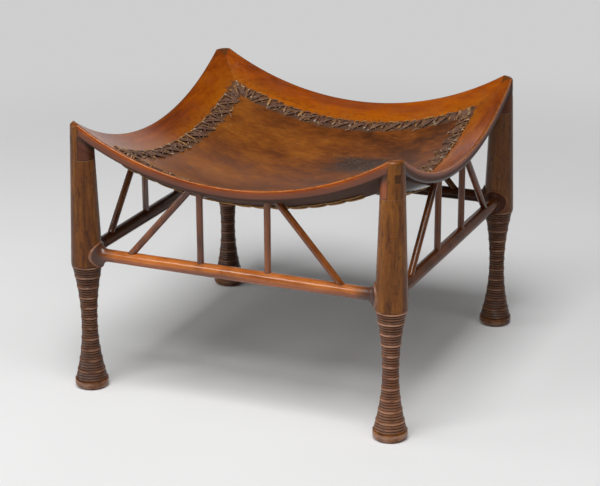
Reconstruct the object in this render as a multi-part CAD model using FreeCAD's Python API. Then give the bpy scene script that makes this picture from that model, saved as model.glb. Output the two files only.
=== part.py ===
import FreeCAD, Part
import math
import os

# Low square stool: four ring-turned legs, a dished seat frame of four mitred rails, a leather panel
# laced into the frame, and turned stretchers with uprights and braces between the legs.
# Millimetres. The origin is on the floor under the middle of the seat, +Z is up and the front is -Y.

Vector = FreeCAD.Vector
Z_AXIS = Vector(0, 0, 1)
X_AXIS = Vector(1, 0, 0)
ORIGIN = Vector(0, 0, 0)

# Legs: a plain foot band, a waisted stretch of turned rings and a plain tapered upper post.
leg_spacing = 400.0
leg_height = 342.0
foot_base_radius = 17.5
foot_radius = 20.8
foot_widest_height = 7.5
foot_band_height = 10.5
ring_foot_radius = 20.2
waist_radius = 10.1
waist_height = 84.0
ring_shoulder_radius = 19.2
shoulder_height = 162.0
shoulder_radius = 19.6
shoulder_round = 1.0
post_top_radius = 13.6
post_top_round = 5.0

# Turned rings: each repeat is one proud band and a few fine rings between grooves.
ring_repeats = 11
fine_rings = 3
band_height = 3.6
band_flat = 1.8
band_proud = 0.3
groove_depth = 0.8

# Seat frame: boards of a spherical dish, mitred at the corners and let into the tops of the legs.
dish_radius = 434.0
dish_corner_drop = 7.7
rail_thickness = 12.0
rail_width = 47.0
rail_overhang = 13.0
rail_top_round = 2.0
rail_bottom_round = 3.0
horn_height = 45.0
horn_setback = 1.4

# Square pegs on the diagonal, driven through each leg's horn into the mitre.
peg_width = 8.0
peg_height = 10.0
peg_bite = 6.0

# Stretchers with flared collars that saddle the legs.
stretcher_rise = 14.0
stretcher_radius = 8.4
stretcher_neck_radius = 7.8
collar_inset = 3.4
collar_flare = 10.0
collar_rim = 2.0
stretcher_tenon_radius = 5.5
stretcher_tenon_length = 13.0

# Uprights and slanting braces between stretcher and rail.
upright_offset = 44.0
upright_radius = 4.1
brace_foot_gap = 57.0
brace_head_gap = 15.0
brace_radius = 4.3
strut_tenon_radius = 2.6
strut_tenon_length = 7.0

# Leather panel and its lacing.
leather_thickness = 3.5
leather_gap = 0.3
leather_corner_radius = 8.0
lace_pitch = 24.0
lace_end_gap = 16.5
lace_width = 5.0
lace_thickness = 2.0
lace_gap = 0.3
lace_reach_wood = 8.0
lace_reach_leather = 8.0

# Fit of glued tenons in their bores, and the room left past a tenon's end.
bore_clearance = 0.1
bore_end_room = 0.5

# Places that follow from the sizes above.
leg_axis = leg_spacing / 2
rail_outer = leg_axis + rail_overhang
rail_inner = rail_outer - rail_width
horn_corner = leg_axis - horn_setback
horn_corner_reach = math.hypot(horn_corner, horn_corner)
horn_floor = leg_height - horn_height
dish_centre_height = leg_height - dish_corner_drop + math.sqrt(dish_radius ** 2 - horn_corner_reach ** 2)
dish_centre = Vector(0, 0, dish_centre_height)
under_radius = dish_radius + rail_thickness
stretcher_height = shoulder_height + stretcher_rise
brace_foot_offset = leg_axis - brace_foot_gap
brace_head_offset = upright_offset + brace_head_gap
leg_reach = 2 * shoulder_radius
side_turns = {"front": 0, "right": 90, "back": 180, "left": 270}
leg_turns = {"front_right": 0, "back_right": 90, "back_left": 180, "front_left": 270}

# Turn from the +X axis to the front right diagonal.
front_right_turn = -45

# Inset of the middle of a quarter round, as a share of its radius.
quarter_inset = 1 - math.sqrt(0.5)


def dish_height(x, y, radius):
    """Height of the sphere of this radius about the dish's centre, over a point in plan."""
    return dish_centre_height - math.sqrt(radius ** 2 - x ** 2 - y ** 2)


def post_radius(height):
    """Radius of the leg's plain upper post."""
    share = (height - shoulder_height) / (leg_height - shoulder_height)
    return shoulder_radius + share * (post_top_radius - shoulder_radius)


def ring_ground(height):
    """Radius of the waisted stretch before its rings are cut: an arc each way from the waist."""
    below = height < waist_height
    end_height = foot_band_height if below else shoulder_height
    flare = (ring_foot_radius if below else ring_shoulder_radius) - waist_radius
    sweep = ((end_height - waist_height) ** 2 + flare ** 2) / (2 * flare)
    return waist_radius + sweep - math.sqrt(sweep ** 2 - (height - waist_height) ** 2)


def ring_points():
    """Outline points of the turned rings, as (radius, height), from the foot band upwards."""
    pitch = (shoulder_height - foot_band_height) / ring_repeats
    fine_pitch = (pitch - band_height) / fine_rings
    points = []
    for repeat in range(ring_repeats):
        start = foot_band_height + repeat * pitch
        for ring in range(fine_rings):
            valley = start + ring * fine_pitch
            crest = valley + fine_pitch / 2
            points.append((ring_ground(valley) - groove_depth, valley))
            points.append((ring_ground(crest), crest))
        band_start = start + fine_rings * fine_pitch
        band_middle = band_start + band_height / 2
        points.append((ring_ground(band_start) - groove_depth, band_start))
        points.append((ring_ground(band_middle) + band_proud, band_middle - band_flat / 2))
        points.append((ring_ground(band_middle) + band_proud, band_middle + band_flat / 2))
    return points


def at(radius, height):
    """Point of a leg's outline, in the plane of its section."""
    return Vector(leg_axis + radius, -leg_axis, height)


def spin_leg(edges):
    """Solid of revolution about the axis of the front right leg."""
    face = Part.Face(Part.Wire(edges))
    return face.revolve(Vector(leg_axis, -leg_axis, 0), Z_AXIS, 360)


def line(a, b):
    """Straight edge."""
    return Part.LineSegment(a, b).toShape()


def arc(a, middle, b):
    """Circular edge through three points."""
    return Part.Arc(a, middle, b).toShape()


def round_edge(low, high):
    """Convex quarter round of a leg's outline between two (radius, height) points."""
    outer, inner = max(low, high), min(low, high)
    radius = outer[0] - quarter_inset * (outer[0] - inner[0])
    height = inner[1] - quarter_inset * (inner[1] - outer[1])
    return arc(at(*low), at(radius, height), at(*high))


def full_leg():
    """The turned leg as it leaves the lathe, before it is notched for the seat."""
    base = (foot_base_radius, 0)
    widest = (foot_radius, foot_widest_height)
    shoulder = (shoulder_radius - shoulder_round, shoulder_height)
    lip = (post_radius(shoulder_height + shoulder_round), shoulder_height + shoulder_round)
    post_end = (post_radius(leg_height - post_top_round), leg_height - post_top_round)
    crown = (post_top_radius - post_top_round, leg_height)
    outline = [widest, (foot_radius, foot_band_height)] + ring_points() + [shoulder]
    edges = [line(at(0, 0), at(*base)), round_edge(base, widest)]
    edges += [line(at(*a), at(*b)) for a, b in zip(outline, outline[1:])]
    edges += [round_edge(shoulder, lip), line(at(*lip), at(*post_end)), round_edge(post_end, crown)]
    edges += [line(at(*crown), at(0, leg_height)), line(at(0, leg_height), at(0, 0))]
    return spin_leg(edges)


def plain_post(growth):
    """The upper post carried past both ends and grown all round, to shape what meets the leg."""
    low, high = stretcher_height - leg_reach, leg_height + leg_reach
    low_side, high_side = at(post_radius(low) + growth, low), at(post_radius(high) + growth, high)
    corners = [at(0, low), low_side, high_side, at(0, high)]
    return spin_leg([line(a, b) for a, b in zip(corners, corners[1:] + corners[:1])])


def prism(outline, low, high):
    """Upright solid over a closed outline of plan points."""
    points = [Vector(x, y, low) for x, y in outline]
    return Part.Face(Part.makePolygon(points + points[:1])).extrude(Z_AXIS * (high - low))


def dish_ball(radius):
    """Ball about the dish's centre, with its poles at the sides, off the seat."""
    return Part.makeSphere(radius, dish_centre, X_AXIS)


def between(outline, near_radius, far_radius):
    """The part of an upright prism that lies between two spheres about the dish's centre."""
    column = prism(outline, 0, dish_centre_height)
    return column.common(dish_ball(far_radius)).cut(dish_ball(near_radius))


def turned(shape, angle):
    """Copy of a shape, turned about the stool's upright axis."""
    copy = shape.copy()
    copy.rotate(ORIGIN, Z_AXIS, angle)
    return copy


def mirrored(shape):
    """Copy of a shape on the other end of the front."""
    return shape.mirror(ORIGIN, X_AXIS)


def corner_peg(room):
    """Square peg on the front right diagonal, with some room all round for its hole."""
    inner_end = horn_corner_reach - peg_bite
    middle = (dish_height(inner_end, 0, dish_radius) + dish_height(inner_end, 0, under_radius)) / 2
    length = math.hypot(leg_axis, leg_axis) + leg_reach - inner_end
    peg = Part.makeBox(length + room, peg_width + 2 * room, peg_height + 2 * room)
    peg.translate(Vector(inner_end - room, -peg_width / 2 - room, middle - peg_height / 2 - room))
    peg.rotate(ORIGIN, Z_AXIS, front_right_turn)
    return peg


def stretcher_axis_point(x):
    """Point on the axis of the front stretcher."""
    return Vector(x, -leg_axis, stretcher_height)


def stretcher_room():
    """Space of the front stretcher's right half, up to the mitre with its neighbour at the leg's axis."""
    outer = -leg_axis - leg_reach
    return prism([(leg_axis, -leg_axis), (0, 0), (0, outer), (leg_axis, outer)], 0, leg_height)


def stretcher_tenon(room, end_room):
    """Round tenon at the right end of the front stretcher, or its bore."""
    tip = leg_axis - post_radius(stretcher_height) + stretcher_tenon_length + end_room
    start = tip - 2 * stretcher_tenon_length
    rod = Part.makeCylinder(stretcher_tenon_radius + room, tip - start, stretcher_axis_point(start), X_AXIS)
    return rod.common(stretcher_room())


def stretcher():
    """Front stretcher: slightly waisted rod that flares into collars round the legs, and its tenons."""
    start, face = stretcher_axis_point(0), stretcher_axis_point(leg_axis - post_radius(stretcher_height))
    rod = Part.makeCone(stretcher_radius, stretcher_neck_radius, leg_axis, start, X_AXIS)
    body = rod.fuse(plain_post(collar_rim))
    meetings = [edge for edge in body.Edges if edge.isClosed()]
    meeting = min(meetings, key=lambda edge: edge.distToShape(Part.Vertex(face))[0])
    body = body.makeFillet(collar_flare, [meeting])
    collar_radius = post_radius(stretcher_height) - collar_inset
    reach = Part.makeCylinder(collar_radius, leg_axis, start, X_AXIS).common(stretcher_room())
    half = body.common(reach).cut(plain_post(0)).fuse(stretcher_tenon(0, 0))
    return half.fuse(mirrored(half)).removeSplitter()


def strut_line(foot_offset, head_offset):
    """Foot on the front stretcher's axis, head on the rail's underside, and the way between."""
    foot = stretcher_axis_point(foot_offset)
    head = Vector(head_offset, -leg_axis, dish_height(head_offset, leg_axis, under_radius))
    return foot, head, (head - foot).normalize()


def strut_core(foot_offset, head_offset, room, end_room):
    """Rod through a strut that makes both its tenons, or their bores."""
    foot, head, way = strut_line(foot_offset, head_offset)
    start = foot + way * (stretcher_neck_radius - strut_tenon_length - end_room)
    length = (head - start).Length + strut_tenon_length + end_room
    return Part.makeCylinder(strut_tenon_radius + room, length, start, way)


def strut(foot_offset, head_offset, radius, stretcher_body):
    """Round strut, coped to the stretcher and to the dished rail, with a tenon at each end."""
    foot, head, way = strut_line(foot_offset, head_offset)
    length = (head - foot).Length + rail_thickness
    body = Part.makeCylinder(radius, length, foot, way)
    body = body.cut(stretcher_body).cut(dish_ball(under_radius))
    return body.fuse(strut_core(foot_offset, head_offset, 0, 0)).removeSplitter()


def strut_places():
    """Kind, hand, foot offset, head offset and radius of each strut, facing its side from outside."""
    places = []
    for hand, sign in (("left", -1), ("right", 1)):
        places.append(("upright", hand, sign * upright_offset, sign * upright_offset, upright_radius))
        places.append(("brace", hand, sign * brace_foot_offset, sign * brace_head_offset, brace_radius))
    return places


def strut_bores():
    """Bores for the tenons of every strut on the front."""
    return [
        strut_core(foot, head, bore_clearance, bore_end_room)
        for _, _, foot, head, _ in strut_places()
    ]


def rail_board():
    """Dished board of the front rail, mitred at both ends, with its outer edges rounded."""
    half_outline = [(horn_corner, -rail_outer), (horn_corner, -horn_corner), (rail_inner, -rail_inner)]
    other_half = [(-x, y) for x, y in reversed(half_outline)]
    board = between(half_outline + other_half, dish_radius, under_radius)
    for radius, sphere in ((rail_top_round, dish_radius), (rail_bottom_round, under_radius)):
        middle = Vector(0, -rail_outer, dish_height(0, rail_outer, sphere))
        edge = min(board.Edges, key=lambda e: e.distToShape(Part.Vertex(middle))[0])
        board = board.makeFillet(radius, [edge])
    return board


def rail_tongue():
    """Tongue at the right end of the front rail: it completes the leg's round below the board."""
    inner, outer = horn_corner - leg_reach, leg_axis + leg_reach
    outline = [(horn_corner, -horn_corner), (inner, -inner), (inner, -outer), (horn_corner, -outer)]
    tongue = prism(outline, horn_floor, leg_height).common(plain_post(0))
    return tongue.cut(dish_ball(under_radius - rail_bottom_round))


def rail():
    """Front rail: board and two tongues, with the bores and peg holes that it carries."""
    tongue = rail_tongue()
    body = rail_board().fuse([tongue, mirrored(tongue)]).removeSplitter()
    hole = corner_peg(bore_clearance)
    return body.cut(strut_bores() + [hole, mirrored(hole)])


def leg():
    """Front right leg: turned blank, notched to a horn at the top and bored for its stretchers."""
    inner, outer = leg_axis - leg_reach, leg_axis + leg_reach
    top = leg_height + leg_reach
    notch = prism([(inner, -inner), (outer, -inner), (outer, -outer), (inner, -outer)], horn_floor, top)
    corner = [(horn_corner, -horn_corner), (outer, -horn_corner), (outer, -outer), (horn_corner, -outer)]
    horn = prism(corner, 0, top)
    blank = full_leg().cut([notch.cut(horn), dish_ball(under_radius).cut(horn), dish_ball(dish_radius)])
    bore = stretcher_tenon(bore_clearance, bore_end_room)
    side_bore = turned(mirrored(bore), 90)
    return blank.cut([bore, side_bore, corner_peg(bore_clearance)])


def peg():
    """Corner peg, pared flush with the leg's round."""
    return corner_peg(0).common(plain_post(0)).cut(dish_ball(dish_radius))


def leather_panel():
    """Leather seat inside the rails, on the same dish."""
    half = rail_inner - leather_gap
    outline = [(half, half), (-half, half), (-half, -half), (half, -half)]
    column = prism(outline, 0, dish_centre_height)
    corners = [edge for edge in column.Edges if edge.BoundBox.ZLength > leather_thickness]
    column = column.makeFillet(leather_corner_radius, corners)
    return column.common(dish_ball(dish_radius + leather_thickness)).cut(dish_ball(dish_radius))


def ribbon(path, width):
    """Outline of a flat strip along plan points, with its corners mitred."""
    ways = [(b - a).normalize() for a, b in zip(path, path[1:])]
    sides = [Z_AXIS.cross(way) for way in ways]
    before, after = sides[:1] + sides, sides + sides[-1:]
    offsets = [(m + n) * (width / 2 / (1 + m.dot(n))) for m, n in zip(before, after)]
    left = [point + offset for point, offset in zip(path, offsets)]
    right = [point - offset for point, offset in zip(path, offsets)]
    return [(point.x, point.y) for point in left + right[::-1]]


def lacing():
    """Front lacing: a thong that crosses the seam, slants back and crosses again, laid on the dish."""
    path = []
    steps = int(2 * (rail_inner - lace_end_gap) // lace_pitch)
    for stitch in range(steps + 1):
        x = (stitch - steps / 2) * lace_pitch
        path.append(Vector(x, -rail_inner - lace_reach_wood, 0))
        path.append(Vector(x, -rail_inner + lace_reach_leather, 0))
    underside = dish_radius - lace_gap
    return between(ribbon(path, lace_width), underside - lace_thickness, underside)


def make_nodes():
    """Every piece of the stool under its node name."""
    nodes = {}
    stretcher_body = stretcher()
    bored_stretcher = stretcher_body.cut(strut_bores())
    front_rail, front_lacing = rail(), lacing()
    front_right_leg, front_right_peg = leg(), peg()
    struts = {
        kind + "_" + hand: strut(foot, head, radius, stretcher_body)
        for kind, hand, foot, head, radius in strut_places()
    }
    for side, angle in side_turns.items():
        nodes["stretcher_" + side] = turned(bored_stretcher, angle)
        nodes["seat_rail_" + side] = turned(front_rail, angle)
        nodes["lacing_" + side] = turned(front_lacing, angle)
        for name, shape in struts.items():
            nodes[side + "_side_" + name] = turned(shape, angle)
    for corner, angle in leg_turns.items():
        nodes["leg_" + corner] = turned(front_right_leg, angle)
        nodes["corner_peg_" + corner] = turned(front_right_peg, angle)
    nodes["leather_seat"] = leather_panel()
    return nodes


os.makedirs("parts", exist_ok=True)
for node_name, node_shape in make_nodes().items():
    node_shape.exportStep("parts/" + node_name + ".step")
    print(node_name, len(node_shape.Solids), node_shape.isValid(), round(node_shape.Volume))
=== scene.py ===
import math
import random
from typing import NamedTuple

import bpy
from mathutils import Matrix, Vector


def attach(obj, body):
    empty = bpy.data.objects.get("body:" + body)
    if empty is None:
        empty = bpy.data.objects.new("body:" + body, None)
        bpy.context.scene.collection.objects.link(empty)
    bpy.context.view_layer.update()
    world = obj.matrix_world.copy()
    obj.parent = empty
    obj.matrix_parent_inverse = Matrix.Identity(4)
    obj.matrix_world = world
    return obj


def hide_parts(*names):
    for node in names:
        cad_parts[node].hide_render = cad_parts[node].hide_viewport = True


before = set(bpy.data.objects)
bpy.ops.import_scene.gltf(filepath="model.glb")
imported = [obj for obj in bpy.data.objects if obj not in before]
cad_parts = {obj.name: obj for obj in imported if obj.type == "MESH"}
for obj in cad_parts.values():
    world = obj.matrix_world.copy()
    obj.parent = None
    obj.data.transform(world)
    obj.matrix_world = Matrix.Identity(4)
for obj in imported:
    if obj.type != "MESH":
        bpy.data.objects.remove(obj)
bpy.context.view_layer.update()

# Low square stool with ring-turned legs, a dished wooden seat frame and a laced leather panel.
# Metres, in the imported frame: the origin is on the floor under the seat and the front is -Y.
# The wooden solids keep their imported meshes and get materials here. The leather panel and its
# lacing, which are plain in the solids, are replaced by finer meshes.

random.seed(11)

SIDES = ("front", "right", "back", "left")
CORNERS = ("front_right", "back_right", "back_left", "front_left")
QUARTER_TURN = math.pi / 2

# Sizes repeated from the solids, for the meshes that lie on them and the colours that follow them.
LEG_AXIS = 0.2
FOOT_BAND = 0.0105
SHOULDER = 0.162
RING_REPEATS = 11
FINE_RINGS = 3
RING_PITCH = (SHOULDER - FOOT_BAND) / RING_REPEATS
BAND_HEIGHT = 0.0036
BAND_SHARE = BAND_HEIGHT / RING_PITCH
STRETCHER_HEIGHT = 0.176
DISH_RADIUS = 0.434
DISH_CENTRE = Vector((0, 0, 0.66517))
BOARD_DEPTH = 0.012
LEATHER_DEPTH = 0.0035
SEAM = 0.166
RAIL_OUTER = 0.213
HORN_CORNER = 0.1986
TONGUE_FOOT = 0.297


# Node trees


class Nodes:
    """A node tree under construction, with short calls for the nodes it needs."""

    def __init__(self, tree):
        self.tree = tree

    def add(self, kind, **settings):
        """A new node, named without the ShaderNode that its type starts with."""
        node = self.tree.nodes.new("ShaderNode" + kind)
        for key, value in settings.items():
            setattr(node, key, value)
        return node

    def put(self, socket, value):
        """Links a socket, or sets a plain value."""
        if isinstance(value, bpy.types.NodeSocket):
            self.tree.links.new(value, socket)
        elif hasattr(value, "__len__") and len(value) == 3 and len(socket.default_value) == 4:
            socket.default_value = (*value, 1)
        else:
            socket.default_value = value

    def calc(self, operation, a, b=0.0, c=0.0):
        """Result of one sum, on sockets or plain values."""
        node = self.add("Math", operation=operation)
        for socket, value in zip(node.inputs, (a, b, c)):
            self.put(socket, value)
        return node.outputs[0]

    def product(self, first, *others):
        """Values multiplied in the order given."""
        for other in others:
            first = self.calc("MULTIPLY", first, other)
        return first

    def split(self, vector):
        """The three coordinates of a vector."""
        node = self.add("SeparateXYZ")
        self.put(node.inputs[0], vector)
        return tuple(node.outputs)

    def distance(self, vector, point=(0, 0, 0)):
        """How far a vector is from a point."""
        node = self.add("VectorMath", operation="DISTANCE")
        self.put(node.inputs[0], vector)
        self.put(node.inputs[1], point)
        return node.outputs["Value"]

    def step(self, value, low, high, shape="SMOOTHSTEP"):
        """Step from 0 at low to 1 at high, smooth unless another shape is named."""
        node = self.add("MapRange", interpolation_type=shape)
        self.put(node.inputs["Value"], value)
        self.put(node.inputs["From Min"], low)
        self.put(node.inputs["From Max"], high)
        return node.outputs[0]

    def band(self, value, middle, half, soft):
        """1 where a value is within half of the middle, falling to 0 over soft."""
        offset = self.calc("ABSOLUTE", self.calc("SUBTRACT", value, middle))
        return self.step(offset, half + soft, half)

    def mix(self, factor, a, b, blend="MIX"):
        """Colour a with colour b laid over it, by a factor."""
        node = self.add("Mix", data_type="RGBA", blend_type=blend)
        inputs = [socket for socket in node.inputs if socket.type == "RGBA"]
        self.put(node.inputs[0], factor)
        for socket, colour in zip(inputs, (a, b)):
            self.put(socket, colour)
        return next(socket for socket in node.outputs if socket.type == "RGBA")

    def ramp(self, value, stops):
        """Colour of a value, from stops of position and colour."""
        node = self.add("ValToRGB")
        elements = node.color_ramp.elements
        while len(elements) < len(stops):
            elements.new(0.5)
        for element, (position, colour) in zip(elements, stops):
            element.position = position
            element.color = (*colour, 1)
        self.put(node.inputs[0], value)
        return node.outputs[0]


class Shader(Nodes):
    """A material under construction, whose colour is built up in coats."""

    def __init__(self, name):
        self.material = bpy.data.materials.new(name)
        self.material.use_nodes = True
        super().__init__(self.material.node_tree)
        self.surface = self.tree.nodes["Principled BSDF"]
        self.place = self.add("TexCoord").outputs["Object"]
        self.colour = None

    def coat(self, paint, mask, share=1.0, blend="MIX"):
        """Lays another colour over the one so far, as far as a mask and a share say."""
        cover = mask if share == 1.0 else self.calc("MULTIPLY", mask, share)
        self.colour = self.mix(cover, self.colour, paint, blend)

    def stretched(self, scale, shift=(0, 0, 0)):
        """The place on the object, scaled and shifted."""
        node = self.add("Mapping")
        self.put(node.inputs["Vector"], self.place)
        self.put(node.inputs["Scale"], scale)
        self.put(node.inputs["Location"], shift)
        return node.outputs[0]

    def noise(self, scale, detail=3, rough=0.5, bend=0.0, stretch=None, shift=(0, 0, 0)):
        """Noise over the object, drawn out along an axis where its stretch is below 1."""
        node = self.add("TexNoise")
        self.put(node.inputs["Vector"], self.stretched(stretch, shift) if stretch else self.place)
        self.put(node.inputs["Scale"], scale)
        self.put(node.inputs["Detail"], detail)
        self.put(node.inputs["Roughness"], rough)
        self.put(node.inputs["Distortion"], bend)
        return node.outputs["Fac"]

    def upward(self):
        """How far the surface faces up: 1 on a level top and -1 on a level underside."""
        return self.split(self.add("NewGeometry").outputs["Normal"])[2]

    def dish_depth(self):
        """Depth below the seat's top surface."""
        return self.calc("SUBTRACT", self.distance(self.place, DISH_CENTRE), DISH_RADIUS)

    def finish(self, rough, height, relief, gloss):
        """Sets colour, roughness, relief and strength of reflection."""
        bump = self.add("Bump")
        self.put(bump.inputs["Height"], height)
        self.put(bump.inputs["Distance"], relief)
        self.put(self.surface.inputs["Base Color"], self.colour)
        self.put(self.surface.inputs["Roughness"], rough)
        self.put(self.surface.inputs["Normal"], bump.outputs[0])
        self.put(self.surface.inputs["Specular IOR Level"], gloss)
        return self.material


# Wood

# Dirt under the lacing, darkened further as painted shade between the strips.
GRIME_AND_SHADE = (0.092, 0.053, 0.034)
# Bright orange of rubbed wood, partly a painted highlight: on the seat's outer edge and the rods'
# upper sides.
RUB_AND_HIGHLIGHT = (0.64, 0.205, 0.042)


def toned(colour, tone):
    """A colour made darker or lighter."""
    return tuple(tone * part for part in colour)


def drawn_out(axis, along):
    """Texture scale that draws a pattern out along one axis."""
    return tuple(along if name == axis else 1.0 for name in "XYZ")


def wood_base(shader, axis, stops):
    """Starts a shader's colour as streaked, pored wood along one axis, and returns its relief."""
    figure = shader.noise(75, detail=5, rough=0.62, bend=0.4, stretch=drawn_out(axis, 0.07))
    tone = shader.noise(11, detail=2)
    fibre = shader.noise(420, rough=0.6, stretch=drawn_out(axis, 0.05))
    mixed = shader.calc("MULTIPLY_ADD", tone, 0.5, shader.calc("MULTIPLY", figure, 0.75))
    mixed = shader.calc("MULTIPLY_ADD", fibre, 0.22, mixed)
    shader.colour = shader.ramp(mixed, list(zip((0.52, 0.72, 0.95), stops)))
    pores = shader.noise(1500, detail=1, rough=0.4, stretch=drawn_out(axis, 0.035))
    pores = shader.step(pores, 0.62, 0.72)
    shader.coat(toned(stops[0], 0.4), pores, 0.45)
    return shader.calc("SUBTRACT", shader.calc("MULTIPLY", fibre, 0.5), pores)


SEAT_STOPS = ((0.17, 0.028, 0.001), (0.32, 0.060, 0.001), (0.47, 0.112, 0.002))
SEAT_CLOUD = (0.250, 0.060, 0.016)
SEAT_GOLD = (0.53, 0.165, 0.003)
SEAT_RELIEF = 0.00007
CHEEK = (0.050, 0.019, 0.012)
NEAR_CHEEK = (0.26, 0.078, 0.034)
# Dark line along the rails' outer top edge: partly dirt, partly painted shade.
EDGE_LINE = (0.060, 0.020, 0.008)
JOINT_LINE = (0.022, 0.011, 0.008)


def seat_joints(shader, across, deep, z, depth):
    """Mask of the lines between boards: faint mitres, and the outlines of tongues and horns."""
    mitre = shader.band(across, deep, 0.0002, 0.0006)
    foot = shader.band(z, TONGUE_FOOT, 0.0004, 0.0005)
    foot = shader.product(foot, shader.step(depth, BOARD_DEPTH, BOARD_DEPTH + 0.003))
    horn = shader.band(shader.calc("MINIMUM", across, deep), HORN_CORNER, 0.0004, 0.0005)
    horn = shader.product(horn, shader.step(depth, 0.004, 0.008))
    outlines = shader.calc("MAXIMUM", foot, horn)
    return shader.calc("MAXIMUM", shader.product(mitre, 0.28), outlines)


def seat_wood(name, axis, tone, face, underside, polish, gloss):
    """Orange polished boards: dirty with painted shade at the lacing, rubbed and painted highlight
    at the outer edge, painted shade underneath.
    """
    shader = Shader(name)
    height = wood_base(shader, axis, [toned(stop, tone) for stop in SEAT_STOPS])
    x, y, z = shader.split(shader.place)
    across, deep = shader.calc("ABSOLUTE", x), shader.calc("ABSOLUTE", y)
    reach, nearer = shader.calc("MAXIMUM", across, deep), shader.calc("MINIMUM", across, deep)
    seam, depth = shader.calc("SUBTRACT", reach, SEAM), shader.dish_depth()
    patchy = shader.noise(170)

    # Clouded boards, golden beside the lacing, and dirty under it with painted shade between the
    # strips.
    cloud = shader.noise(36, rough=0.6, stretch=drawn_out(axis, 0.55), shift=(0.3, 0.7, 0))
    shader.coat(toned(SEAT_CLOUD, tone), shader.step(cloud, 0.46, 0.64), 0.45)
    gold = shader.product(shader.step(seam, 0.034, 0.010), shader.step(patchy, 0.2, 0.6))
    shader.coat(toned(SEAT_GOLD, tone), gold, 0.45)
    ragged = shader.calc("MULTIPLY_ADD", patchy, 0.010, seam)
    inside_corner = shader.step(nearer, SEAM + 0.009, SEAM + 0.003)
    grime_and_shade = shader.product(shader.step(ragged, 0.0165, 0.0115), shader.step(depth, 0.006, 0.001))
    shader.coat(GRIME_AND_SHADE, shader.product(grime_and_shade, inside_corner), 0.85)

    # Cheeks of the tongues below the boards, lightest at the near leg, and the boards' faces.
    tongue = shader.step(depth, BOARD_DEPTH + 0.0005, BOARD_DEPTH + 0.010)
    near_leg = shader.step(shader.calc("SUBTRACT", x, y), 0.30, 0.37)
    shader.coat(shader.mix(near_leg, CHEEK, NEAR_CHEEK), tongue, 0.8)
    # Outer faces: a painted pale sheen on the front and back rails, painted shade on the side
    # rails.
    lower = shader.calc("SUBTRACT", shader.step(depth, 0.003, 0.008), tongue)
    shader.coat(face, lower, 0.8)

    # Outer edge, rubbed bright and painted highlight, with a dark line of dirt and painted shade
    # inside it, and the joints.
    edge = shader.step(reach, RAIL_OUTER - 0.004, RAIL_OUTER - 0.001)
    rub_and_highlight = shader.product(shader.band(depth, 0.0012, 0.0006, 0.0009), edge)
    shader.coat(RUB_AND_HIGHLIGHT, shader.product(rub_and_highlight, shader.step(patchy, 0.15, 0.7)), 0.72)
    # Dark line inside the rubbed edge: partly dirt, partly painted shade on the edge's rounding.
    line = shader.band(reach, RAIL_OUTER - 0.0019, 0.0007, 0.0006)
    shader.coat(EDGE_LINE, shader.product(line, shader.step(depth, 0.0016, 0.0008)), 0.6)
    shader.coat(JOINT_LINE, seat_joints(shader, across, deep, z, depth))

    # Underside, painted dark as shade, which comes a little higher towards the corners.
    cornered = shader.step(nearer, 0.06, 0.16)
    under = shader.step(shader.calc("MULTIPLY_ADD", cornered, -0.0010, depth), 0.0088, 0.0108)
    under = shader.calc("SUBTRACT", under, tongue)
    shader.coat(underside, under, 0.9)
    rough = shader.calc("MULTIPLY_ADD", patchy, 0.14, 0.17)
    rough = shader.calc("MULTIPLY_ADD", lower, 0.32, rough)
    rough = shader.calc("MULTIPLY_ADD", under, polish, rough)
    return shader.finish(rough, height, SEAT_RELIEF, gloss)


POST_STOPS = ((0.040, 0.012, 0.003), (0.155, 0.046, 0.007), (0.31, 0.110, 0.014))
POST_GOLD = (0.27, 0.105, 0.012)
POST_SPECK = (0.020, 0.008, 0.004)
POST_BLOTCH = (0.022, 0.010, 0.007)
POST_STREAK = (0.030, 0.010, 0.005)
POST_RELIEF = 0.00012
POST_GLOSS = 0.25
# Ring colours: crests and bands partly painted highlights, grooves painted shade.
RING_WOOD = (0.138, 0.060, 0.037)
RING_CREST = (0.36, 0.185, 0.118)
RING_BAND = (0.52, 0.275, 0.170)
RING_GROOVE = (0.014, 0.007, 0.005)
FOOT_RUBBED = (0.40, 0.225, 0.155)
HORN_SIDE = (0.21, 0.075, 0.018)
HORN_TOP = (0.22, 0.055, 0.004)
TONGUE_LINE = (0.30, 0.17, 0.10)


def post_marks(shader):
    """Coats of grain and stains on a leg: golden stretches, specks, blotches and dark streaks."""
    gold = shader.noise(130, rough=0.6, stretch=(1, 1, 0.12), shift=(0.4, 0.2, 0))
    shader.coat(POST_GOLD, shader.step(gold, 0.52, 0.68), 0.5)
    speck = shader.noise(520, rough=0.7, stretch=(1, 1, 0.3))
    shader.coat(POST_SPECK, shader.step(speck, 0.56, 0.68), 0.6)
    blotch = shader.noise(48, rough=0.6, stretch=(1, 1, 0.55))
    shader.coat(POST_BLOTCH, shader.step(blotch, 0.64, 0.74), 0.55)
    streak = shader.noise(
        310, detail=4, rough=0.7, bend=0.3, stretch=(1, 1, 0.16), shift=(0.1, 0.5, 0)
    )
    shader.coat(POST_STREAK, shader.step(streak, 0.52, 0.66), 0.65)


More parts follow.
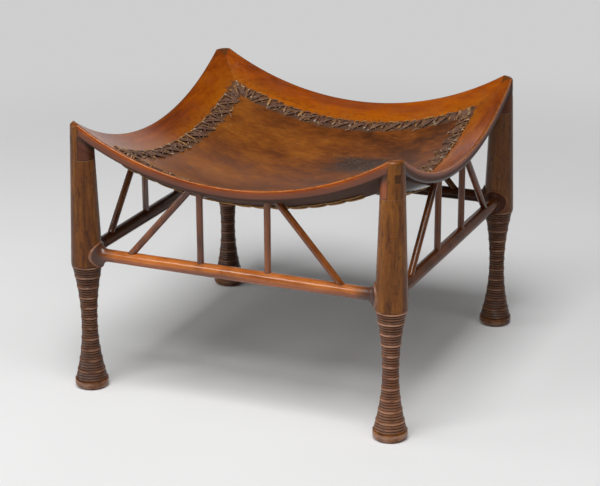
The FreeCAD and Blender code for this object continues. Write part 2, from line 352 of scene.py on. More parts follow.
def post_rings(shader, z, worn):
    """Coats of the rings: rubbed crests and bright bands, partly painted highlights, and dark
    grooves in painted shade. Returns their mask.
    """
    above = shader.step(z, FOOT_BAND, FOOT_BAND + 0.0005)
    below = shader.step(z, SHOULDER, SHOULDER - 0.0005)
    ringed = shader.product(above, below)
    rise = shader.calc("SUBTRACT", z, FOOT_BAND)
    phase = shader.calc("FRACT", shader.product(rise, 1 / RING_PITCH))
    fine = shader.calc("FRACT", shader.product(phase, FINE_RINGS / (1 - BAND_SHARE)))
    banded = shader.calc("GREATER_THAN", phase, 1 - BAND_SHARE)
    crest = shader.calc("MAXIMUM", shader.band(fine, 0.5, 0.18, 0.26), banded)
    shader.coat(RING_WOOD, ringed, 0.6)
    # Painted highlights on the crests and the bands, patchy with wear; painted shade in the
    # grooves.
    shader.coat(RING_CREST, shader.product(crest, ringed, shader.step(worn, 0.25, 0.75)), 0.28)
    proud = shader.band(phase, 1 - BAND_SHARE / 2, 0.030, 0.045)
    shader.coat(RING_BAND, shader.product(proud, ringed, shader.step(worn, 0.3, 0.6)), 0.7)
    shader.coat(RING_GROOVE, shader.product(ringed, shader.calc("SUBTRACT", 1.0, crest)), 0.85)
    return ringed


def post_wood(name, tone, ring_tone_and_shade):
    """Brown leg: streaked post and horn, fine rings below the shoulder and a rubbed foot, toned by
    painted light and shade.
    """
    shader = Shader(name)
    height = wood_base(shader, "Z", POST_STOPS)
    x, y, z = shader.split(shader.place)
    worn = shader.noise(60, detail=2, stretch=(1, 1, 3))
    post_marks(shader)
    ringed = post_rings(shader, z, worn)
    foot = shader.step(z, FOOT_BAND, FOOT_BAND - 0.002)
    shader.coat(FOOT_RUBBED, shader.product(foot, shader.step(worn, 0.3, 0.7)), 0.78)

    # The horn takes the seat's colour towards its top, and a line shows where the tongue ends.
    horn = shader.step(shader.dish_depth(), 0.010, 0.002)
    horn = shader.product(horn, shader.step(z, TONGUE_FOOT, TONGUE_FOOT + 0.02))
    shader.coat(HORN_SIDE, horn, 0.35)
    shader.coat(HORN_TOP, shader.product(horn, shader.step(shader.upward(), 0.45, 0.8)), 0.65)
    nearer = shader.calc("MINIMUM", shader.calc("ABSOLUTE", x), shader.calc("ABSOLUTE", y))
    inner = shader.step(nearer, HORN_CORNER + 0.0005, HORN_CORNER)
    line = shader.band(z, TONGUE_FOOT, 0.0003, 0.0005)
    shader.coat(TONGUE_LINE, shader.product(line, shader.calc("MULTIPLY_ADD", inner, 0.6, 0.15)))

    # Painted light and shade: each leg's own tone, and that of its rings.
    shader.coat((ring_tone_and_shade,) * 3, ringed, blend="MULTIPLY")
    shader.coat((tone,) * 3, 1.0, blend="MULTIPLY")
    rough = shader.calc("MULTIPLY_ADD", worn, 0.18, 0.22)
    return shader.finish(rough, height, POST_RELIEF, POST_GLOSS)


ROD_STOPS = ((0.035, 0.009, 0.003), (0.105, 0.025, 0.005), (0.24, 0.065, 0.010))
ROD_RELIEF = 0.00004
# Painted shade on the collars, and a painted highlight on their rims.
COLLAR_SHADE = (0.045, 0.016, 0.010)
COLLAR_RIM_HIGHLIGHT = (0.30, 0.125, 0.055)
# Distances from the stretcher's axis between which the painted highlight on the collar's rim comes
# in.
RIM_START, RIM_FULL = 0.0146, 0.0153


def collars(shader, axis, tone, worn):
    """Coats of a stretcher's collars in painted shade, with painted highlights on their rims.
    Returns the mask of both ends.
    """
    x, y, z = shader.split(shader.place)
    along, aside = (x, y) if axis == "X" else (y, x)
    along, aside = shader.calc("ABSOLUTE", along), shader.calc("ABSOLUTE", aside)
    ends = shader.step(shader.calc("MULTIPLY_ADD", worn, 0.03, along), 0.168, 0.194)
    # Painted shade over both collars.
    shader.coat(COLLAR_SHADE, ends, 0.93)
    # Painted highlight on each collar's rim, weaker on the darker, shaded rods.
    aside = shader.calc("SUBTRACT", aside, LEG_AXIS)
    rise = shader.calc("SUBTRACT", z, STRETCHER_HEIGHT)
    square = shader.calc("MULTIPLY_ADD", aside, aside, shader.product(rise, rise))
    rim = shader.step(square, RIM_START ** 2, RIM_FULL ** 2)
    shader.coat(COLLAR_RIM_HIGHLIGHT, shader.product(rim, ends), 0.7 * min(1, tone))
    return ends


def rod_wood(name, axis, tone, rub_and_highlight, gloss):
    """Reddish brown rod, rubbed and painted lit to bright orange on top: a strut, or along X or Y
    a stretcher.
    """
    shader = Shader(name)
    height = wood_base(shader, axis, [toned(stop, tone) for stop in ROD_STOPS])
    worn = shader.noise(40)
    upward = shader.upward()
    # Painted light and rubbing: the side facing up and forward is lightened, less so at the very
    # top.
    crown = shader.product(shader.step(upward, 0.70, 1.0), 0.45)
    top = shader.calc("SUBTRACT", shader.step(upward, -0.45, 0.40), crown)
    shader.coat(RUB_AND_HIGHLIGHT, shader.product(top, shader.step(worn, 0.25, 0.6)), rub_and_highlight)
    rough = shader.calc("MULTIPLY_ADD", worn, 0.12, 0.06)
    if axis != "Z":
        rough = shader.calc("MULTIPLY_ADD", collars(shader, axis, tone, worn), 0.22, rough)
    return shader.finish(rough, height, ROD_RELIEF, gloss)


PEG_STOPS = ((0.3, (0.040, 0.014, 0.005)), (0.7, (0.120, 0.045, 0.012)))
PEG_ROUGHNESS, PEG_RELIEF, PEG_GLOSS = 0.45, 0.0002, 0.2


def peg_wood(name):
    """Dark end grain of the corner pegs."""
    shader = Shader(name)
    rings = shader.noise(700, detail=4, rough=0.7)
    shader.colour = shader.ramp(rings, PEG_STOPS)
    return shader.finish(PEG_ROUGHNESS, rings, PEG_RELIEF, PEG_GLOSS)


# Leather

HIDE_STOPS = (
    (0.36, (0.070, 0.020, 0.005)),
    (0.52, (0.175, 0.047, 0.006)),
    (0.74, (0.32, 0.098, 0.008)),
)
HIDE_SCUFF = (0.42, 0.18, 0.045)
HIDE_BARE = (0.034, 0.020, 0.015)
HIDE_GRIT = (0.22, 0.155, 0.115)
HIDE_FLECK = (0.5, 0.3, 0.16)
HIDE_RELIEF, HIDE_GLOSS = 0.00022, 0.32
FLESH_STOPS = ((0.35, (0.20, 0.185, 0.16)), (0.65, (0.33, 0.31, 0.275)))


def leather(name):
    """Brown polished hide: mottled, scuffed, darker to the right, with a worn dark patch."""
    shader = Shader(name)
    x, y = shader.split(shader.place)[:2]
    tone = shader.noise(13, detail=4, rough=0.6)
    cloud = shader.noise(34, detail=5, rough=0.65, stretch=(0.5, 1, 1), shift=(0.3, 0.1, 0))
    fine = shader.noise(230, detail=4, rough=0.7, stretch=(0.32, 1, 1), shift=(0.6, 0.3, 0))
    mixed = shader.calc("MULTIPLY_ADD", cloud, 0.5, shader.calc("MULTIPLY", tone, 0.55))
    mixed = shader.calc("MULTIPLY_ADD", fine, 0.42, shader.calc("SUBTRACT", mixed, 0.225))
    mixed = shader.calc("MULTIPLY_ADD", x, -0.45, mixed)
    shader.colour = shader.ramp(mixed, HIDE_STOPS)
    streak = shader.noise(300, rough=0.6, stretch=(0.14, 1, 1))
    scuff = shader.product(shader.step(streak, 0.58, 0.70), shader.step(cloud, 0.45, 0.6))
    shader.coat(HIDE_SCUFF, scuff, 0.45)

    # The worn patch, whose outline the clouds and the fine noise break up.
    spot = shader.distance(shader.stretched((0.62, 1.15, 0), (-0.030, -0.080, 0)))
    spot = shader.calc("MULTIPLY_ADD", cloud, -0.075, spot)
    bare = shader.step(shader.calc("MULTIPLY_ADD", fine, -0.020, spot), -0.012, -0.034)
    shader.coat(HIDE_BARE, bare, 0.92)
    grit = shader.noise(420, detail=2, rough=0.6, stretch=(0.7, 1, 1), shift=(0.2, 0.8, 0))
    shader.coat(HIDE_GRIT, shader.product(bare, shader.step(grit, 0.54, 0.64)), 0.38)

    # Dirt and painted shade under the lacing, the pale flesh side and a few light flecks.
    reach = shader.calc("MAXIMUM", shader.calc("ABSOLUTE", x), shader.calc("ABSOLUTE", y))
    seam = shader.calc("SUBTRACT", reach, SEAM)
    ragged = shader.calc("MULTIPLY_ADD", shader.noise(170), -0.010, seam)
    shader.coat(GRIME_AND_SHADE, shader.step(ragged, -0.0175, -0.0115), 0.85)
    shader.coat(shader.ramp(cloud, FLESH_STOPS), shader.step(shader.upward(), 0.1, -0.3))
    fleck = shader.noise(240, detail=1, stretch=(1, 1, 1), shift=(0.7, 0.2, 0))
    shader.coat(HIDE_FLECK, shader.step(fleck, 0.75, 0.79), 0.35)
    pits = shader.noise(900, detail=2)
    rough = shader.calc("MULTIPLY_ADD", cloud, 0.26, 0.20)
    height = shader.calc("MULTIPLY_ADD", streak, 0.6, pits)
    return shader.finish(rough, height, HIDE_RELIEF, HIDE_GLOSS)


THONG_STOPS = (
    (0.3, (0.080, 0.038, 0.024)),
    (0.55, (0.152, 0.078, 0.051)),
    (0.75, (0.25, 0.150, 0.100)),
)
TAN_STOPS = ((0.3, (0.24, 0.11, 0.03)), (0.7, (0.48, 0.26, 0.085)))
# Pale thong: frayed ends, partly a painted highlight.
PALE_STOPS = ((0.3, (0.22, 0.165, 0.12)), (0.7, (0.50, 0.41, 0.32)))
THONG_RELIEF, THONG_GLOSS = 0.0003, 0.22


def thong_leather(name):
    """Dark thong whose attribute says where it is tan, at 1, or pale at 2, where it is frayed and
    partly a painted highlight.
    """
    shader = Shader(name)
    wear_and_glint = shader.add("Attribute", attribute_name="wear_and_glint").outputs["Fac"]
    patchy = shader.noise(260, detail=4, rough=0.65)
    shader.colour = shader.ramp(patchy, THONG_STOPS)
    shader.coat(shader.ramp(patchy, TAN_STOPS), wear_and_glint)
    shader.coat(shader.ramp(patchy, PALE_STOPS), shader.step(wear_and_glint, 1.2, 2.0))
    rough = shader.calc("MULTIPLY_ADD", patchy, 0.35, 0.35)
    return shader.finish(rough, patchy, THONG_RELIEF, THONG_GLOSS)


# Leather panel


def on_dish(x, y, lift=0.0, radius=DISH_RADIUS):
    """Point over a place in plan, lifted off a sphere round the dish's centre towards it."""
    way = Vector((x, y, -math.sqrt(radius ** 2 - x ** 2 - y ** 2))).normalized()
    return DISH_CENTRE + way * (radius - lift)


def add_mesh(name, points, faces, material):
    """New smooth-shaded piece that rides with the stool."""
    mesh = bpy.data.meshes.new(name)
    mesh.from_pydata(points, [], faces)
    mesh.validate()
    mesh.polygons.foreach_set("use_smooth", [True] * len(mesh.polygons))
    mesh.materials.append(material)
    piece = bpy.data.objects.new(name, mesh)
    bpy.context.scene.collection.objects.link(piece)
    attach(piece, "root")
    return piece


PANEL_HALF = 0.1656
PANEL_CORNER = 0.008
PANEL_DEPTH = 0.0034
PANEL_CELLS = 88
PANEL_RIM, RIM_SEGMENTS, RIM_ANGLE = 0.0012, 3, 50
WAVE_HEIGHT = 0.0006
SLACK_HEIGHT, SLACK_START = 0.0005, 0.9
LACE_PITCH = 0.024


def panel_place(u, v):
    """Point of a square grid, from -1 to 1 each way, pressed into the panel's rounded outline."""
    x, y = u * PANEL_HALF, v * PANEL_HALF
    edge = PANEL_HALF - PANEL_CORNER
    if abs(x) > edge and abs(y) > edge:
        dx, dy = abs(x) - edge, abs(y) - edge
        shrink = max(dx, dy) / math.hypot(dx, dy)
        x = math.copysign(edge + dx * shrink, x)
        y = math.copysign(edge + dy * shrink, y)
    return x, y


def panel_wave(x, y):
    """Lift of the leather: soft waves that die out at the rim, and slack between stitches."""
    out = max(abs(x), abs(y)) / PANEL_HALF
    along = x if abs(y) > abs(x) else y
    near_rim = max(0.0, (out - SLACK_START) / (1 - SLACK_START))
    slack = SLACK_HEIGHT * near_rim * math.cos(2 * math.pi * along / LACE_PITCH)
    waves = WAVE_HEIGHT * math.sin(31 * x + 17 * y) * math.sin(23 * y - 9 * x)
    return waves * (1 - out ** 4) + slack


def leather_panel(material):
    """Leather seat: a closed dished sheet with soft waves and a rounded rim."""
    cells, wide = PANEL_CELLS, PANEL_CELLS + 1
    points, faces = [], []
    for depth in (0.0, PANEL_DEPTH):
        for row in range(wide):
            for column in range(wide):
                x, y = panel_place(2 * column / cells - 1, 2 * row / cells - 1)
                points.append(on_dish(x, y, panel_wave(x, y) - depth))
    layer = wide ** 2
    for row in range(cells):
        for column in range(cells):
            a = row * wide + column
            b, c, d = a + 1, a + wide + 1, a + wide
            faces.append((a, b, c, d))
            faces.append((layer + a, layer + d, layer + c, layer + b))
    rim = list(range(cells))
    rim += [row * wide + cells for row in range(cells)]
    rim += [cells * wide + column for column in range(cells, 0, -1)]
    rim += [row * wide for row in range(cells, 0, -1)]
    for a, b in zip(rim, rim[1:] + rim[:1]):
        faces.append((a, layer + a, layer + b, b))
    piece = add_mesh("leather_panel", points, faces, material)
    bevel = piece.modifiers.new("rim", "BEVEL")
    bevel.width, bevel.segments = PANEL_RIM, RIM_SEGMENTS
    bevel.limit_method, bevel.angle_limit = "ANGLE", math.radians(RIM_ANGLE)
    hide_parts("leather_seat")


# Lacing


class Cut(NamedTuple):
    """Section of a strip of thong, its height off a surface, and the values picked from for how
    tan or pale it is, pale partly as painted highlight.
    """

    width: float
    thickness: float
    lift: float
    wear_and_glint: tuple = ()


class Surface(NamedTuple):
    """Sphere that strips lie on, the side they lie on, and how deep their ends sink into it."""

    radius: float
    side: int
    sink: float


SEAT_TOP = Surface(DISH_RADIUS, 1, 0.0022)
RAIL_UNDERSIDE = Surface(DISH_RADIUS + BOARD_DEPTH, -1, 0.0)
FLESH_SIDE = Surface(DISH_RADIUS + LEATHER_DEPTH + 0.0004, -1, 0.0)


class Strips:
    """Gathers flat strips of thong into one mesh, with a value for each of how tan or pale it is,
    pale partly as painted highlight.
    """

    SECTION_POINTS = 10
    LENGTHS = 12
    END_WIDTH = 0.62
    FLAT_POWER, TALL_POWER = 0.55, 0.8
    RISE_RATE, RISE_POWER = 5.5, 0.6
    ARCH = 0.0004

    def __init__(self):
        self.points, self.faces, self.wear_and_glint = [], [], []

    def add(self, line, ups, width, thickness, wear_and_glint):
        """A strip along a line, with a rounded flat section and each point's own up direction."""
        sides, start = self.SECTION_POINTS, len(self.points)
        for index, (point, up) in enumerate(zip(line, ups)):
            ahead = line[min(index + 1, len(line) - 1)] - line[max(index - 1, 0)]
            across = ahead.cross(up).normalized()
            out = across.cross(ahead).normalized()
            share = index / (len(line) - 1)
            middle = min(1.0, 4 * min(share, 1 - share))
            narrow = self.END_WIDTH + (1 - self.END_WIDTH) * middle
            for side in range(sides):
                turn = 2 * math.pi * side / sides
                flat, tall = math.cos(turn), math.sin(turn)
                flat = math.copysign(abs(flat) ** self.FLAT_POWER, flat) * narrow * width / 2
                tall = math.copysign(abs(tall) ** self.TALL_POWER, tall) * thickness / 2
                self.points.append(point + across * flat + out * tall)
                self.wear_and_glint.append(wear_and_glint)
        for ring in range(len(line) - 1):
            for side in range(sides):
                a, b = start + ring * sides + side, start + ring * sides + (side + 1) % sides
                self.faces.append((a, b, b + sides, a + sides))
        self.faces.append(tuple(start + side for side in reversed(range(sides))))
        last = start + (len(line) - 1) * sides
        self.faces.append(tuple(last + side for side in range(sides)))

    def span(self, start, end, wear_and_glint, cut, wider=0.0, raised=0.0, surface=SEAT_TOP):
        """A strip between two holes in plan: out of one, over the surface and into the other."""
        line, ups = [], []
        for index in range(self.LENGTHS + 1):
            share = index / self.LENGTHS
            place = start.lerp(end, share)
            rise = min(1.0, self.RISE_RATE * min(share, 1 - share)) ** self.RISE_POWER
            lift = -surface.sink + (cut.lift + raised + surface.sink) * rise
            lift += self.ARCH * math.sin(math.pi * share)
            point = on_dish(place.x, place.y, surface.side * lift, surface.radius)
            line.append(point)
            ups.append(surface.side * (DISH_CENTRE - point).normalized())
        self.add(line, ups, cut.width + wider, cut.thickness, wear_and_glint)

    def build(self, name, material):
        """One piece of all the strips, with their wear as an attribute."""
        piece = add_mesh(name, self.points, self.faces, material)
        layer = piece.data.attributes.new("wear_and_glint", "FLOAT", "POINT")
        layer.data.foreach_set("value", self.wear_and_glint)
        return piece


def jitter(size):
    """Random offset, up to a size either way."""
    return random.uniform(-size, size)


# Each side's lacing as seen in the photograph: how far the slanting strips run along the seam on
# their way from wood to leather, how far they reach over the leather at the side's two ends, and
# which stitches, counted from the middle, are tan.
LEAN = {"front": 0.016, "right": -0.013, "back": 0.016, "left": -0.021}
INNER_REACH = {
    "front": (0.0088, 0.0088),
    "right": (0.0125, 0.0125),
    "back": (0.0085, 0.0085),
    "left": (0.0125, 0.0080),
}
TAN_STITCHES = {"back": (3, 5), "left": (-1, 0), "right": (-4, -2, -1), "front": (-5, -4)}
TAN_WEAR = 0.9
OUTER_REACH = 0.0086
FRONT_RAISED = 0.0008
LAST_STITCH = 6

# Strips over the seam, and the share of a stitch or a slanting strip that its frayed end covers.
# The pale values of frayed ends and bits are partly painted highlight.
STITCH = Cut(0.0034, 0.0013, 0.0015, (0.0, 0.0, 0.1, 0.2))
STITCH_END, STITCH_END_SHARE = Cut(0.0028, 0.0014, 0.0017, (0.8, 1.6, 2.0)), 0.22
SLANT_END, SLANT_END_SHARE = Cut(0.0022, 0.0012, 0.0015, (0.2, 1.4, 1.9)), 0.16
CROSSING = Cut(0.0019, 0.0010, 0.0014, (0.0, 0.1, 0.3))
EDGE_RUN = Cut(0.0019, 0.0011, 0.0011, (0.1, 0.5, 1.3))
EDGE_STARTS, EDGE_LENGTH = (0.004, 0.013), 0.008
FRAY, FRAYS = Cut(0.0009, 0.0008, 0.0016, (0.3, 1.3, 1.7)), 3

# Slanting strips of a stitch: where each starts along the seam, and its height.
SLANT = Cut(0.0027, 0.0011, 0.0, (0.0, 0.0, 0.05, 0.2))
SLANTS = ((0.0000, 0.0012), (0.0050, 0.0010), (0.0100, 0.0008), (0.0150, 0.0007))

# Runs underneath: how far outside the seam each lies, on what surface, and its height.
UNDER_RUN = Cut(0.0042, 0.0018, 0.0)
UNDER_RUNS = (
    (0.0165, RAIL_UNDERSIDE, 0.0009),
    (0.0045, RAIL_UNDERSIDE, 0.0008),
    (-0.0092, FLESH_SIDE, 0.0009),
)
UNDER_HALF_LENGTH = 0.0117
UNDER_WEAR = 0.95


class SideLacing:
    """One side's lacing: straight and slanting strips over the seam, and short runs underneath."""

    def __init__(self, side, quarter):
        self.side = side
        self.spin = Matrix.Rotation(QUARTER_TURN * quarter, 2)
        self.way = math.copysign(1, LEAN[side])
        self.raised = FRONT_RAISED if side == "front" else 0.0
        self.strips = Strips()

    def plan(self, along, out):
        """Place in plan, so far along the side from its middle and so far outside the seam."""
        return self.spin @ Vector((along, -SEAM - out))

    def span(self, start, end, wear_and_glint, cut, wider=0.0):
        """A strip over the seam, as high as this side's lacing lies."""
        self.strips.span(start, end, wear_and_glint, cut, wider, self.raised)

    def straight(self, x, inner, tan):
        """A stitch straight across the seam, and the frayed end of it that shows."""
        wear_and_glint = TAN_WEAR if tan else random.choice(STITCH.wear_and_glint)
        wood = self.plan(x - 0.0015 * self.way + jitter(0.0014), OUTER_REACH + jitter(0.001))
        hide = self.plan(x + jitter(0.0018), jitter(0.0014) - 0.65 * inner)
        self.span(wood, hide, wear_and_glint, STITCH, jitter(0.0008))
        frayed, other = (hide, wood) if self.side == "back" else (wood, hide)
        end = frayed.lerp(other, STITCH_END_SHARE)
        self.span(frayed, end, random.choice(STITCH_END.wear_and_glint), STITCH_END)

    def slanting(self, x, inner):
        """Strips that fan out from one hole in the leather to the wood, and one across them."""
        tip_along = x + self.way * 0.004 + LEAN[self.side]
        tip = self.plan(tip_along + jitter(0.002), jitter(0.0016) - 1.12 * inner)
        for shift, lift in SLANTS:
            along = x + self.way * shift
            high = self.plan(along + jitter(0.0020), OUTER_REACH - 0.001 + jitter(0.0018))
            low = tip + Vector((jitter(0.0030), jitter(0.0030)))
            cut = SLANT._replace(lift=lift)
            self.span(low, high, random.choice(SLANT.wear_and_glint), cut, jitter(0.0009))
        end = tip.lerp(high, SLANT_END_SHARE)
        self.span(tip, end, random.choice(SLANT_END.wear_and_glint), SLANT_END)
        along = x + self.way * 0.018 + jitter(0.004)
        high = self.plan(along, OUTER_REACH - 0.002 + jitter(0.0015))
        along = x + self.way * 0.008 + jitter(0.004)
        low = self.plan(along, jitter(0.0015) - 0.6 * inner)
        self.span(low, high, random.choice(CROSSING.wear_and_glint), CROSSING)

    def loose(self, x):
        """Short runs along the edge on the wood, and frayed bits over the strips."""
        for shift in EDGE_STARTS:
            along, to = x + self.way * shift, x + self.way * (shift + EDGE_LENGTH)
            begin = self.plan(along + jitter(0.002), OUTER_REACH + jitter(0.0012))
            end = self.plan(to + jitter(0.002), OUTER_REACH - 0.0015 + jitter(0.0012))
            self.span(begin, end, random.choice(EDGE_RUN.wear_and_glint), EDGE_RUN)
        for _ in range(FRAYS):
            begin = self.plan(x + self.way * 0.012 + jitter(0.010), jitter(OUTER_REACH) - 0.002)
            end = begin + self.spin @ Vector((0.006 + jitter(0.002), 0.004 + jitter(0.003)))
            self.span(begin, end, random.choice(FRAY.wear_and_glint), FRAY)

    def underneath(self, x):
        """Runs of thong under the rail and the leather."""
        for out, surface, lift in UNDER_RUNS:
            begin = self.plan(x - UNDER_HALF_LENGTH, out + jitter(0.0008))
            end = self.plan(x + UNDER_HALF_LENGTH, out + jitter(0.0008))
            cut = UNDER_RUN._replace(lift=lift)
            self.strips.span(begin, end, UNDER_WEAR + jitter(0.15), cut, surface=surface)

    def build(self, material):
        """Lays the strips stitch by stitch, as a piece that replaces the side's plain lacing."""
        first, last = INNER_REACH[self.side]
        for stitch in range(-LAST_STITCH, LAST_STITCH + 1):
            x = stitch * LACE_PITCH
            inner = first + (last - first) * (stitch + LAST_STITCH) / (2 * LAST_STITCH)
            self.straight(x, inner, stitch in TAN_STITCHES[self.side])
            if abs(stitch + self.way) <= LAST_STITCH:
                self.slanting(x, inner)
                self.loose(x)
            self.underneath(x)
        piece = self.strips.build("lacing_thong_" + self.side, material)
        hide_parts("lacing_" + self.side)


# Fan of strips round a corner: their number, how far the fan runs along each side, how far the
# strips reach over the wood and the leather, and how far one lies above the next.
FAN_STRIPS = 24
FAN_LENGTH = 0.019
FAN_OUT, FAN_IN = 0.0066, 0.0092
FAN_STRIP = Cut(0.0026, 0.0011, 0.0008, (0.0, 0.0, 0.15, 0.4))
# The ends' pale values are partly painted highlight.
FAN_END, FAN_END_SHARE = Cut(0.0024, 0.0013, 0.0018, (0.9, 1.6)), 0.25
FAN_LAYER = 0.0003


def corner_lacing(name, quarter, material):
    """Strips that fan round a corner of the leather and close the lacing there."""
    strips = Strips()
    spin = Matrix.Rotation(QUARTER_TURN * quarter, 2)
    corner, diagonal = Vector((SEAM, -SEAM)), Vector((1, -1)).normalized()
    for index in range(FAN_STRIPS):
        away = FAN_LENGTH * (index // 2) / (FAN_STRIPS // 2 - 1)
        back, out = ((-1, 0), (0, -1)) if index % 2 else ((0, 1), (1, 0))
        back, out = Vector(back), Vector(out).lerp(diagonal, 1 - away / FAN_LENGTH).normalized()
        seam = corner + back * away
        begin = seam + out * (FAN_OUT + jitter(0.0014)) + back * jitter(0.004)
        end = seam - out * (FAN_IN + jitter(0.0024)) + back * jitter(0.006)
        wear_and_glint, raised = random.choice(FAN_STRIP.wear_and_glint), FAN_LAYER * (index % 4)
        strips.span(spin @ begin, spin @ end, wear_and_glint, FAN_STRIP, jitter(0.0006), raised)
        if index % 3 == 0:
            tip = begin.lerp(end, FAN_END_SHARE)
            strips.span(spin @ begin, spin @ tip, random.choice(FAN_END.wear_and_glint), FAN_END)
    strips.build("lacing_corner_" + name, material)


# Materials on the solids that stay

# The front and back faces carry a painted pale sheen; the side faces and all undersides are
# painted shade.
FRONT_FACE, FRONT_UNDERSIDE = (0.135, 0.060, 0.042), (0.050, 0.022, 0.014)
SIDE_FACE, SIDE_UNDERSIDE = (0.034, 0.017, 0.013), (0.026, 0.012, 0.009)


def dress(node, material):
    """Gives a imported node's mesh one material."""
    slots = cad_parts[node].data.materials
    slots.clear()
    slots.append(material)


def seat_materials():
    """Material of each side's rail."""
    shade = {"face": SIDE_FACE, "underside": SIDE_UNDERSIDE, "polish": -0.42}
    light = {"face": FRONT_FACE, "underside": FRONT_UNDERSIDE, "polish": 0.10}
    # The side rails are darker copies than the front and back, as painted shade.
    front = seat_wood("seat_wood_front_back", "X", tone=0.96, gloss=0.3, **light)
    right = seat_wood("seat_wood_right", "Y", tone=0.82, gloss=0.17, **shade)
    left = seat_wood("seat_wood_left", "Y", tone=0.78, gloss=0.3, **shade)
    return {"front": front, "right": right, "back": front, "left": left}


def dress_solids():
    """Dresses the wooden nodes, with each side's tone, rubbing and gloss from the photograph; the
    tones and rubbing are painted light and shade.
    """
    rails = seat_materials()
    # Tones and rubbing differ by side as painted light and shade: lit bright at the front, darker
    # at the sides and back.
    stretchers = {
        "front": rod_wood("rod_wood_front", "X", tone=2.3, rub_and_highlight=0.65, gloss=0.6),
        "right": rod_wood("rod_wood_right", "Y", tone=0.78, rub_and_highlight=0.10, gloss=0.07),
        "back": rod_wood("rod_wood_back", "X", tone=0.4, rub_and_highlight=0.05, gloss=0.2),
        "left": rod_wood("rod_wood_left", "Y", tone=0.35, rub_and_highlight=0.06, gloss=0.12),
    }
    struts = {
        "front": rod_wood("strut_wood_front", "Z", tone=1.15, rub_and_highlight=0.12, gloss=0.6),
        "right": rod_wood("strut_wood_right", "Z", tone=0.80, rub_and_highlight=0.10, gloss=0.4),
        "back": rod_wood("strut_wood_back", "Z", tone=0.6, rub_and_highlight=0.08, gloss=0.3),
        "left": rod_wood("strut_wood_left", "Z", tone=0.60, rub_and_highlight=0.10, gloss=0.8),
    }
    # A brighter copy for the brace nearest the front right, as painted light.
    near_brace = rod_wood("brace_wood_near", "Z", tone=1.1, rub_and_highlight=0.18, gloss=0.7)
    # Each leg's tone and ring tone are painted light and shade, set to how light falls on it; the
    # back legs are darker.
    posts = {
        "front_left": post_wood("post_wood_front_left", tone=0.92, ring_tone_and_shade=0.80),
        "front_right": post_wood("post_wood_front_right", tone=1.03, ring_tone_and_shade=1.15),
        "back_right": post_wood("post_wood_back_right", tone=0.68, ring_tone_and_shade=0.97),
        "back_left": post_wood("post_wood_back_left", tone=0.66, ring_tone_and_shade=1.0),
    }
    peg = peg_wood("peg_end_grain")
    for side in SIDES:
        dress("seat_rail_" + side, rails[side])
        dress("stretcher_" + side, stretchers[side])
        for piece in ("upright_left", "upright_right", "brace_left", "brace_right"):
            dress(side + "_side_" + piece, struts[side])
    dress("right_side_brace_left", near_brace)
    for corner in CORNERS:
        dress("leg_" + corner, posts[corner])
        dress("corner_peg_" + corner, peg)


# Stage, light and camera

FLOOR_STOPS = ((0.3, (0.80, 0.80, 0.80)), (0.7, (0.82, 0.82, 0.82)))
FLOOR_LEVEL = -0.0005
FLOOR_RINGS = (1, 3, 9, 27)
FLOOR_SPOKES = 48
FLOOR_ROUGHNESS, FLOOR_RELIEF, FLOOR_GLOSS = 0.9, 0.0001, 0.1
FLOOR_GLOW = 0.62
GLOW_START, GLOW_FULL = 0.7, 1.6


def floor_material():
    """Pale matt floor that glows, where it is seen or mirrored, beyond the lights' reach."""
    shader = Shader("studio_floor")
    mottled = shader.noise(3, detail=2)
    shader.colour = shader.ramp(mottled, FLOOR_STOPS)
    shader.finish(FLOOR_ROUGHNESS, mottled, FLOOR_RELIEF, FLOOR_GLOSS)
    path = shader.add("LightPath").outputs
    seen = shader.calc("MAXIMUM", path["Is Glossy Ray"], path["Is Transmission Ray"])
    seen = shader.calc("MAXIMUM", seen, path["Is Camera Ray"])
    away = shader.step(shader.distance(shader.place), GLOW_START, GLOW_FULL)
    glow, blend = shader.add("Emission"), shader.add("MixShader")
    shader.put(glow.inputs["Strength"], FLOOR_GLOW)
    shader.put(blend.inputs["Fac"], shader.product(seen, away))
    shader.put(blend.inputs[1], shader.surface.outputs[0])
    shader.put(blend.inputs[2], glow.outputs[0])
    shader.put(shader.tree.nodes["Material Output"].inputs["Surface"], blend.outputs[0])
    return shader.material


def floor():
    """Round floor, far wider than the stool."""
    points, spokes = [(0, 0, FLOOR_LEVEL)], FLOOR_SPOKES
    for radius in FLOOR_RINGS:
        for spoke in range(spokes):
            turn = 2 * math.pi * spoke / spokes
            points.append((radius * math.cos(turn), radius * math.sin(turn), FLOOR_LEVEL))
    faces = [(0, 1 + spoke, 1 + (spoke + 1) % spokes) for spoke in range(spokes)]
    for ring in range(len(FLOOR_RINGS) - 1):
        for spoke in range(spokes):
            a, b = 1 + ring * spokes + spoke, 1 + ring * spokes + (spoke + 1) % spokes
            faces.append((a, a + spokes, b + spokes, b))
    mesh = bpy.data.meshes.new("studio_floor")
    mesh.from_pydata(points, [], faces)
    mesh.materials.append(floor_material())
    piece = bpy.data.objects.new("studio_floor", mesh)
    bpy.context.scene.collection.objects.link(piece)


WORLD_STRENGTH = 0.05
BACKDROP_STRENGTH = 0.66
BACKDROP_TOP, BACKDROP_SIDE = 0.54, 0.70


def world_light():
    """Dim room, with a pale backdrop low down behind the stool."""
    world = bpy.data.worlds.new("studio")
    world.use_nodes = True
    nodes = Nodes(world.node_tree)
    y, z = nodes.split(nodes.add("TexCoord").outputs["Generated"])[1:]
    low = nodes.step(z, BACKDROP_TOP, BACKDROP_TOP - 0.10, "LINEAR")
    behind = nodes.step(y, BACKDROP_SIDE, BACKDROP_SIDE + 0.16, "LINEAR")
    backdrop = nodes.product(low, behind)
    strength = nodes.calc("MULTIPLY_ADD", backdrop, BACKDROP_STRENGTH, WORLD_STRENGTH)
    background = nodes.tree.nodes["Background"]
    nodes.put(background.inputs["Strength"], strength)
    nodes.put(background.inputs["Color"], (1, 1, 1))
    bpy.context.scene.world = world


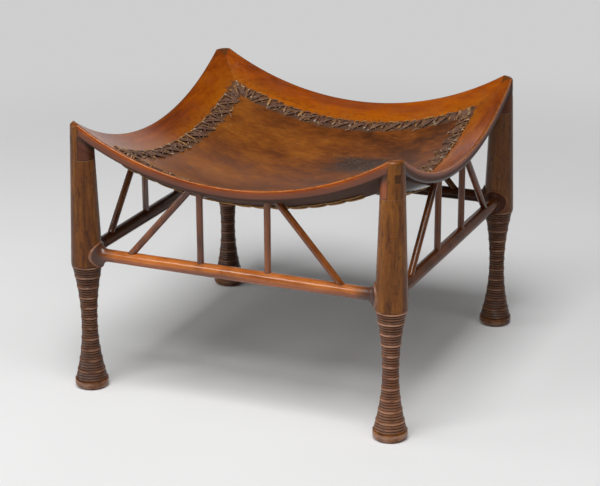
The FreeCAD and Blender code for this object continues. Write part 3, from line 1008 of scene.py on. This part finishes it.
def softbox(name, place, target, size, power):
    """Square area light that faces a point."""
    light = bpy.data.lights.new(name, "AREA")
    light.shape, light.size, light.energy = "SQUARE", size, power
    lamp = bpy.data.objects.new(name, light)
    lamp.location = place
    lamp.rotation_euler = (Vector(place) - Vector(target)).to_track_quat("Z", "Y").to_euler()
    bpy.context.scene.collection.objects.link(lamp)


def lighting():
    """Overhead key from the front, and weaker lights from the right, front left and left."""
    world_light()
    softbox("key_softbox", (0.20, -1.50, 3.6), (0, 0, 0.1), 1.9, 114)
    softbox("right_softbox", (1.9, -0.7, 3.0), (0, 0, 0.1), 1.6, 14)
    softbox("front_softbox", (-0.95, -1.75, 1.9), (0, 0, 0.2), 0.7, 9)
    softbox("left_softbox", (-1.9, -0.9, 0.9), (0, 0, 0.2), 1.1, 10)
    bpy.context.scene.view_settings.view_transform = "Standard"


# Camera fitted to the photograph's legs, stretchers and seat edges. Angles in degrees; the focal
# length in pixels of the photograph.
AZIMUTH, ELEVATION = 23.47, 18.58
YAW, PITCH, ROLL = 0.03, 0.65, -0.24
TARGET, DISTANCE = Vector((0, 0, 0.18)), 2.44672
FOCAL_LENGTH, PHOTO_WIDTH = 1914.78, 600
SENSOR_WIDTH, CLIP_END = 36, 30


def camera():
    """Camera at the photograph's viewpoint."""
    azimuth, elevation = math.radians(AZIMUTH), math.radians(ELEVATION)
    level = Vector((math.sin(azimuth), -math.cos(azimuth), 0))
    back = level * math.cos(elevation) + Vector((0, 0, math.sin(elevation)))
    right = Vector((0, 0, 1)).cross(back).normalized()
    turn = Matrix((right, back.cross(right), back)).transposed()
    for degrees, axis in ((YAW, "Y"), (-PITCH, "X"), (ROLL, "Z")):
        turn = turn @ Matrix.Rotation(math.radians(degrees), 3, axis)
    lens = bpy.data.cameras.new("camera")
    lens.sensor_width = SENSOR_WIDTH
    lens.lens = FOCAL_LENGTH / PHOTO_WIDTH * SENSOR_WIDTH
    lens.clip_end = CLIP_END
    view = bpy.data.objects.new("camera", lens)
    view.matrix_world = Matrix.Translation(TARGET + DISTANCE * back) @ turn.to_4x4()
    bpy.context.scene.collection.objects.link(view)
    bpy.context.scene.camera = view


dress_solids()
leather_panel(leather("seat_leather_worn"))
thong = thong_leather("thong_leather")
for turn, side_name in enumerate(SIDES):
    SideLacing(side_name, turn).build(thong)
for turn, corner_name in enumerate(CORNERS):
    corner_lacing(corner_name, turn, thong)
floor()
lighting()
camera()
